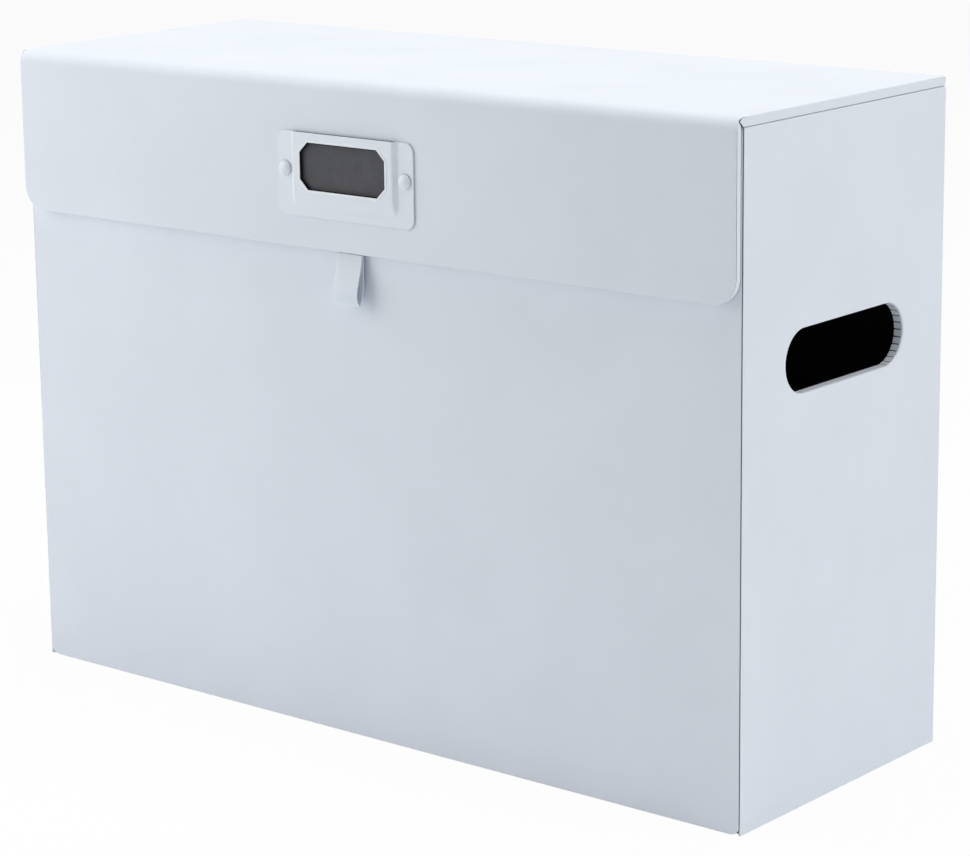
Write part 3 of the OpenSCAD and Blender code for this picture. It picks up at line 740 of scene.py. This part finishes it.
# Wool fibres 0.02 mm thick, drawn 0.15 mm thick
wool = add(tree, "TexNoise", {"Scale": 6500.0, "Detail": 3.0}, {"Vector": (place, "Object")})
# These near-black colours are painted shade under the window's lip
dyed = add(tree, "ValToRGB", {}, {"Fac": (wool, "Fac")})
dyed.color_ramp.elements[0].color = linear("#0c0c0e")
dyed.color_ramp.elements[1].color = linear("#1b1b1e")
fuzz = add(tree, "Bump", {"Strength": 0.6, "Distance": 0.00005}, {"Height": (wool, "Fac")})
fibre = add(tree, "BsdfPrincipled", {"Roughness": 0.95, "Specular IOR Level": 0.2}, {
    "Base Color": (dyed, "Color"), "Normal": (fuzz, "Normal")})
add(tree, "OutputMaterial", {}, {"Surface": (fibre, 0)})

# A dark frame put where the card lies in the lip's shadow: painted shade
bpy.ops.mesh.primitive_cube_add(size=1, location=(0, -0.07182, 0.22915), scale=(0.0470, 0.00096, 0.0207))
felt_frame = begin("window_felt_frame")
bpy.ops.object.mode_set(mode="OBJECT")
cut(felt_frame, window_block("felt_front", -0.0720225, 0.001365, 0.00036), "UNION")
cut(felt_frame, window_block("felt_hole", -0.0718, 0.01, -0.00020))
only(felt_frame)
bpy.ops.object.mode_set(mode="EDIT")
pick("EDGE", lambda e: within(e, y=(-0.07135, -0.07133)) and e.calc_face_angle(0) > 0.5)
bpy.ops.mesh.bevel(offset=0.0001, offset_type="OFFSET", segments=1)
complete(felt_frame, felt)
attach(felt_frame, "flap")
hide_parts("label_holder")


# ---- Rivets of the label holder ----
# Two round-headed steel rivets, painted with the plate, one at each side of the channel. Each
# head is turned from a flattened ball and stands on a short neck, which leaves a shadow under it.
dome_foot_y = -0.07165
domes = []
for x in (-0.0305, 0.0305):
    bpy.ops.mesh.primitive_uv_sphere_add(
        segments=32, ring_count=16, radius=0.0029, location=(x, dome_foot_y, 0.2270),
        scale=(1, 0.5, 1))
    dome = begin("dome")
    bpy.ops.mesh.select_all(action="SELECT")
    bpy.ops.mesh.bisect(
        plane_co=(0, dome_foot_y, 0), plane_no=(0, 1, 0), use_fill=True, clear_outer=True)
    pick("FACE", lambda f: f.normal.y > 0.9)
    bpy.ops.mesh.inset(thickness=0.0009)
    bpy.ops.mesh.extrude_region_move(TRANSFORM_OT_translate={"value": (0, 0.00035, 0)})
    bpy.ops.object.mode_set(mode="OBJECT")
    domes.append(dome)
only(*domes)
bpy.ops.object.join()
domes = begin("holder_rivet_heads")
complete(domes, enamel, angle=50)
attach(domes, "flap")
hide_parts("holder_rivets")


# ---- Label card ----
# A slip of dark grey pasteboard in the channel behind the window. Its surface is matt and even,
# with a soft calender mottle a few millimetres across.
card_stock, tree = finish_named("dark_grey_pasteboard")
place = add(tree, "TexCoord", {}, {})
mottle = add(tree, "TexNoise", {"Scale": 260.0, "Detail": 4.0}, {"Vector": (place, "Object")})
grey = add(tree, "ValToRGB", {}, {"Fac": (mottle, "Fac")})
grey.color_ramp.elements[0].position = 0.3
grey.color_ramp.elements[0].color = linear("#4b4b4f")
grey.color_ramp.elements[1].position = 0.7
grey.color_ramp.elements[1].color = linear("#525256")
tooth = add(tree, "Bump", {"Strength": 0.3, "Distance": 0.00003}, {"Height": (mottle, "Fac")})
card = add(tree, "BsdfPrincipled", {"Roughness": 0.75, "IOR": 1.45}, {
    "Base Color": (grey, "Color"), "Normal": (tooth, "Normal")})
add(tree, "OutputMaterial", {}, {"Surface": (card, 0)})
dress(card_stock, "label_card")


# ---- Pull loop ----
# A strip of white coated cloth, 12.5 mm wide and 0.7 mm thick, folded in two under the flap. Its
# front ply bulges and its back ply hangs straight, so from the side it is a drop with a point.
strap_cloth, tree = finish_named("white_coated_strap_cloth")
place = add(tree, "TexCoord", {}, {})
grain = add(tree, "TexVoronoi", {"feature": "SMOOTH_F1", "Scale": 1500.0}, {"Vector": (place, "Object")})
wear = add(tree, "TexNoise", {"Scale": 90.0, "Detail": 3.0}, {"Vector": (place, "Object")})
coat = add(tree, "ValToRGB", {}, {"Fac": (wear, "Fac")})
coat.color_ramp.elements[0].color = linear("#e6eefa")
coat.color_ramp.elements[1].color = linear("#ecf3fd")
satin = add(tree, "MapRange", {"To Min": 0.4, "To Max": 0.5}, {"Value": (wear, "Fac")})
skin = add(tree, "Bump", {"Strength": 0.3, "Distance": 0.00003}, {"Height": (grain, "Distance")})
cloth = add(tree, "BsdfPrincipled", {
    "IOR": 1.48, "Specular IOR Level": 0.4, "Subsurface Weight": 0.5,
    "Subsurface Radius": (1, 1, 1), "Subsurface Scale": 0.0015}, {
    "Base Color": (coat, "Color"), "Roughness": (satin, "Result"), "Normal": (skin, "Normal")})
add(tree, "OutputMaterial", {}, {"Surface": (cloth, 0)})
dress(strap_cloth, "pull_tail")

# Middle line of the strap from the front ply's root, round the point and up the back ply
strap_line = [
    (-0.06905, 0.1959), (-0.06912, 0.1944), (-0.06945, 0.1922), (-0.07010, 0.1897), (-0.07095, 0.1870),
    (-0.07175, 0.1844), (-0.07235, 0.1820), (-0.07262, 0.1800), (-0.07250, 0.1784), (-0.07200, 0.1772),
    (-0.07140, 0.17655), (-0.07110, 0.17625), (-0.07075, 0.1762), (-0.07045, 0.1764), (-0.07005, 0.1770),
    (-0.06955, 0.1780), (-0.06910, 0.1793), (-0.06875, 0.1811), (-0.06855, 0.1834), (-0.06845, 0.1868),
    (-0.06838, 0.1910), (-0.06835, 0.1959),
]
strap_width = 0.0125
bpy.ops.mesh.primitive_plane_add(
    size=strap_width, location=(0, strap_line[0][0] + strap_width / 2, strap_line[0][1]))
loop = begin("pull_strap_loop")
pick("VERT", lambda v: v.co.y > strap_line[0][0] + 0.001)
bpy.ops.mesh.delete(type="VERT")
for (y0, z0), (y1, z1) in zip(strap_line, strap_line[1:]):
    pick("EDGE", lambda e: within(e, y=(y0, y0), z=(z0, z0)))
    bpy.ops.mesh.extrude_region_move(TRANSFORM_OT_translate={"value": (0, y1 - y0, z1 - z0)})
bpy.ops.mesh.select_all(action="SELECT")
bpy.ops.mesh.remove_doubles(threshold=0.00001)
bpy.ops.mesh.normals_make_consistent(inside=False)
modify(loop, "SOLIDIFY", thickness=0.0007, offset=0, use_even_offset=True)
modify(loop, "BEVEL", width=0.00018, segments=2, limit_method="ANGLE", angle_limit=math.radians(60))
modify(loop, "SUBSURF", levels=1, render_levels=1)
complete(loop, strap_cloth, angle=50)
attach(loop, "pull")
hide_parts("pull_loop")
